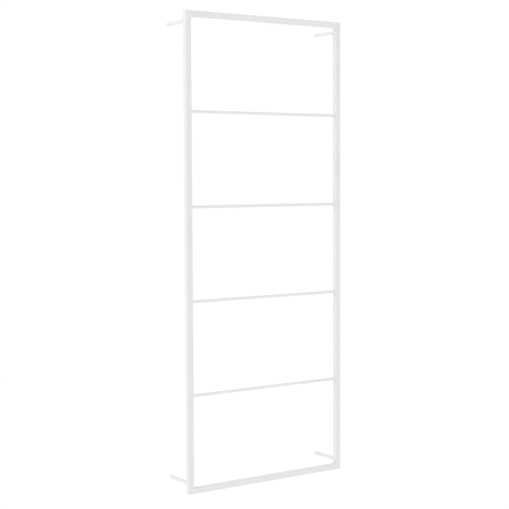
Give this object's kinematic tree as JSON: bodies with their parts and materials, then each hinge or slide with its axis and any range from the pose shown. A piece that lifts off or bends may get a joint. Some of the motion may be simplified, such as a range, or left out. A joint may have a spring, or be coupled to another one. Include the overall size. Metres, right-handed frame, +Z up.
{
  "type": "wall mounted fold down drying rack",
  "caption": "Tall white ladder frame of square tube with round rungs, held off the wall by arms that hinge below and catch above.",
  "frame": {"origin": "centre of the four wall fixings, on the wall plane", "axes": "+X to the right as seen from the room, +Y into the wall, +Z up; the ladder frame is in front of the wall at negative Y"},
  "size_m": [0.6, 0.13, 1.5025],
  "materials": {
    "powder_coat": "fine satin white powder coat on steel",
    "bright_steel": "ground stainless steel pin",
    "zinc_plate": "bright zinc plate",
    "black_screw": "black oxide with oil",
    "white_nylon": "natural white nylon",
    "bronze": "sintered bronze, oiled",
    "magnet_nickel": "nickel plated",
    "rubber": "pale grey moulded rubber"
  },
  "bodies": {
    "wall_hardware": {"hinge_boss_left": "powder_coat", "hinge_boss_right": "powder_coat", "hinge_pin_left": "bright_steel", "hinge_pin_right": "bright_steel", "catch_cup_left": "powder_coat", "catch_cup_right": "powder_coat", "catch_liner_left": "white_nylon", "catch_liner_right": "white_nylon", "catch_magnet_left": "magnet_nickel", "catch_magnet_right": "magnet_nickel", "grub_screws": "black_screw"},
    "ladder_frame": {"stile_left": "powder_coat", "stile_right": "powder_coat", "top_rail": "powder_coat", "bottom_rail": "powder_coat", "rung_1": "powder_coat", "rung_2": "powder_coat", "rung_3": "powder_coat", "rung_4": "powder_coat", "upper_arm_left": "powder_coat", "upper_arm_right": "powder_coat", "lower_arm_left": "powder_coat", "lower_arm_right": "powder_coat", "rivet_nuts": "zinc_plate", "thrust_washers": "white_nylon", "hinge_bush_left": "bronze", "hinge_bush_right": "bronze", "wall_buffers": "rubber"}
  },
  "joints": [
    {"name": "fold_down", "type": "hinge", "parent": "wall_hardware", "child": "ladder_frame", "pos_m": [0, -0.02, -0.718], "axis": [1, 0, 0], "range_deg": [0, 81]}
  ]
}
